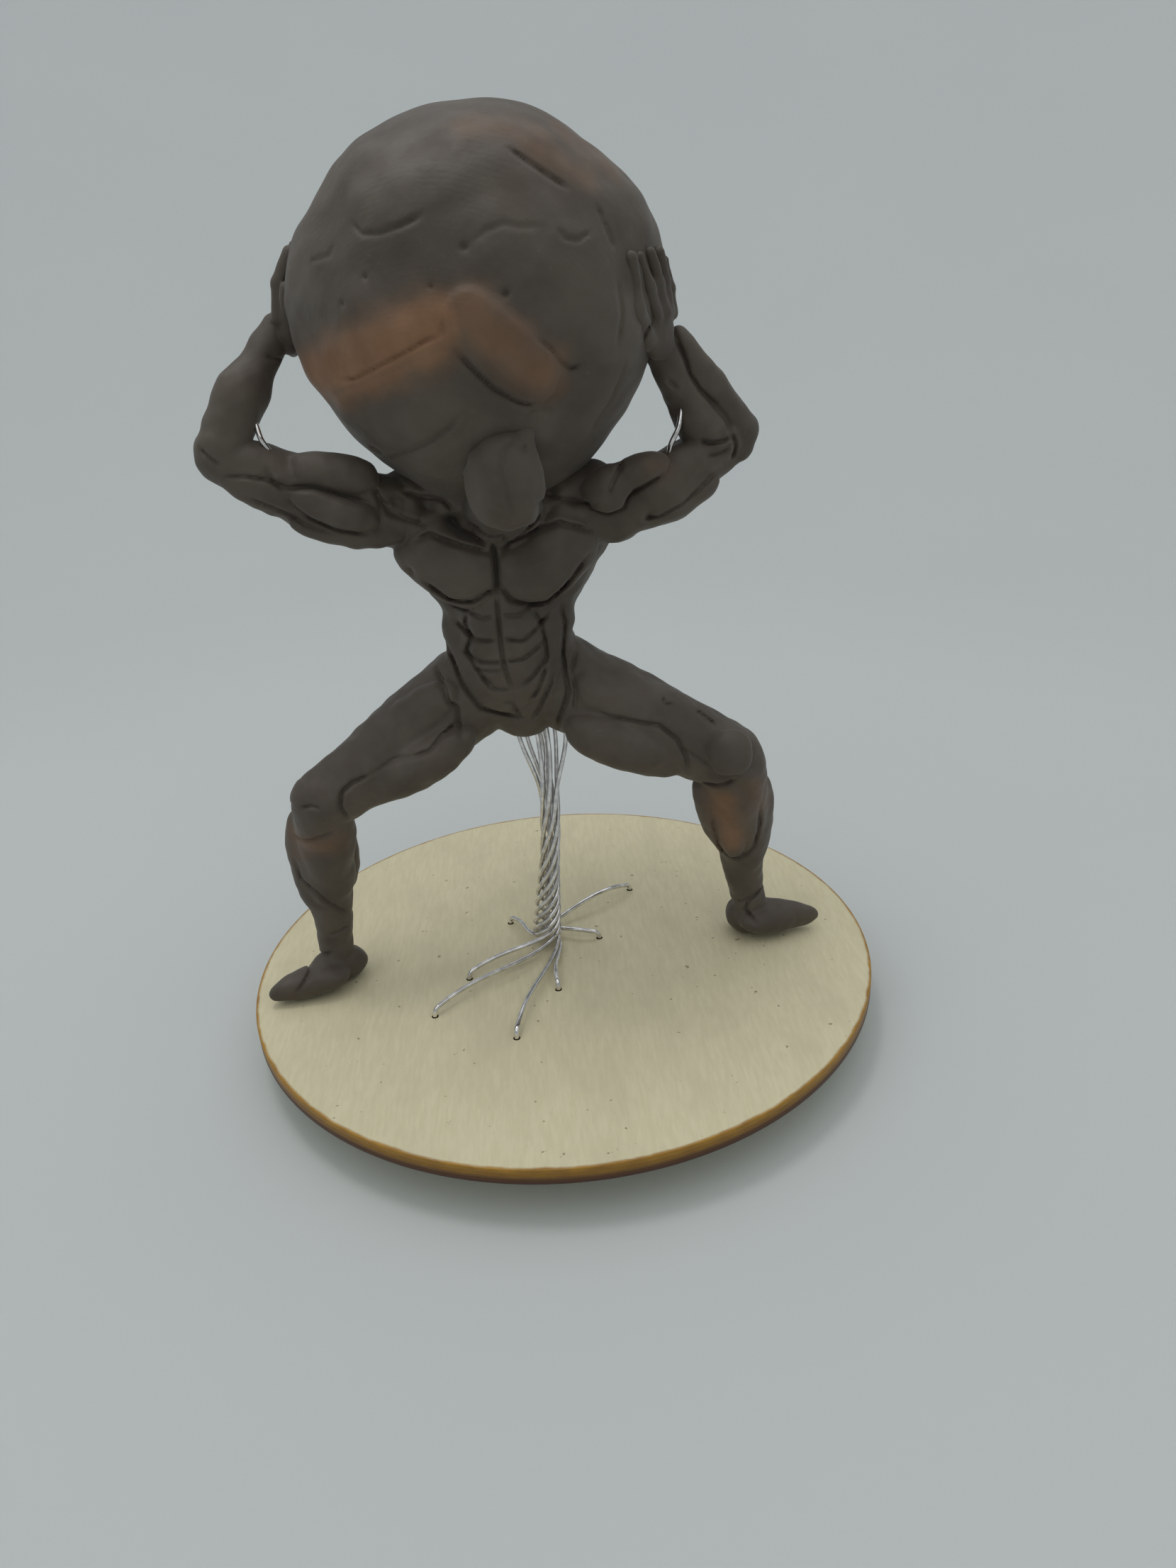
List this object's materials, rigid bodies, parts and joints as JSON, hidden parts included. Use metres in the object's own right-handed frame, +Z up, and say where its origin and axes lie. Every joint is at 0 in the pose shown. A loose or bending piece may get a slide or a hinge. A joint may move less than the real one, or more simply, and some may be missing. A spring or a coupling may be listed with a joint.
{
  "type": "sculpting turntable",
  "caption": "Small round plywood sculpting turntable on a low ring bearing, with a twisted wire armature carrying a clay figure that lifts a ball.",
  "frame": {"origin": "on the bench under the centre of the deck", "axes": "+Z up along the axis of rotation; the figure faces -Y; +X is to the viewer's right, the figure's own left"},
  "size_m": [0.12, 0.12, 0.158],
  "materials": {
    "plywood": "bare laser-cut plywood with a scorched edge",
    "armature_wire": "bare drawn wire",
    "ring_aluminium": "satin turned",
    "bearing_steel": "polished",
    "cage_nylon": "moulded nylon",
    "rubber": "matte",
    "foil": "crumpled foil",
    "clay": "oil-based modelling clay, finger-worked, matt with a faint sheen"
  },
  "bodies": {
    "base": {"rubber_feet": "rubber", "fixed_ring": "ring_aluminium", "filler_plug": "bearing_steel"},
    "cage": {"ball_cage": "cage_nylon", "bearing_balls": "bearing_steel"},
    "turntable": {"turning_ring": "ring_aluminium", "ring_screws": "bearing_steel", "deck": "plywood", "strand_1": "armature_wire", "strand_2": "armature_wire", "strand_3": "armature_wire", "strand_4": "armature_wire", "strand_5": "armature_wire", "strand_6": "armature_wire", "strand_7": "armature_wire", "core_wires": "armature_wire", "arm_wire": "armature_wire", "leg_wire": "armature_wire", "foil_core": "foil", "pelvis": "clay", "abdomen": "clay", "chest": "clay", "right_pectoral": "clay", "left_pectoral": "clay", "neck": "clay", "head": "clay", "right_shoulder": "clay", "right_upper_arm": "clay", "right_biceps": "clay", "right_forearm": "clay", "right_hand": "clay", "left_shoulder": "clay", "left_upper_arm": "clay", "left_biceps": "clay", "left_forearm": "clay", "left_hand": "clay", "right_thigh": "clay", "right_kneecap": "clay", "right_shin": "clay", "right_calf": "clay", "right_foot": "clay", "left_thigh": "clay", "left_kneecap": "clay", "left_shin": "clay", "left_calf": "clay", "left_foot": "clay", "clay_ball": "clay"}
  },
  "joints": [
    {"name": "turn", "type": "hinge", "parent": "base", "child": "turntable", "pos_m": [0, 0, 0.0045], "axis": [0, 0, 1], "continuous": true},
    {"name": "cage_spin", "type": "hinge", "parent": "base", "child": "cage", "pos_m": [0, 0, 0.0045], "axis": [0, 0, 1], "continuous": true}
  ],
  "couplings": [
    {"joint": "cage_spin", "follows": "turn", "ratio": 0.4817}
  ]
}
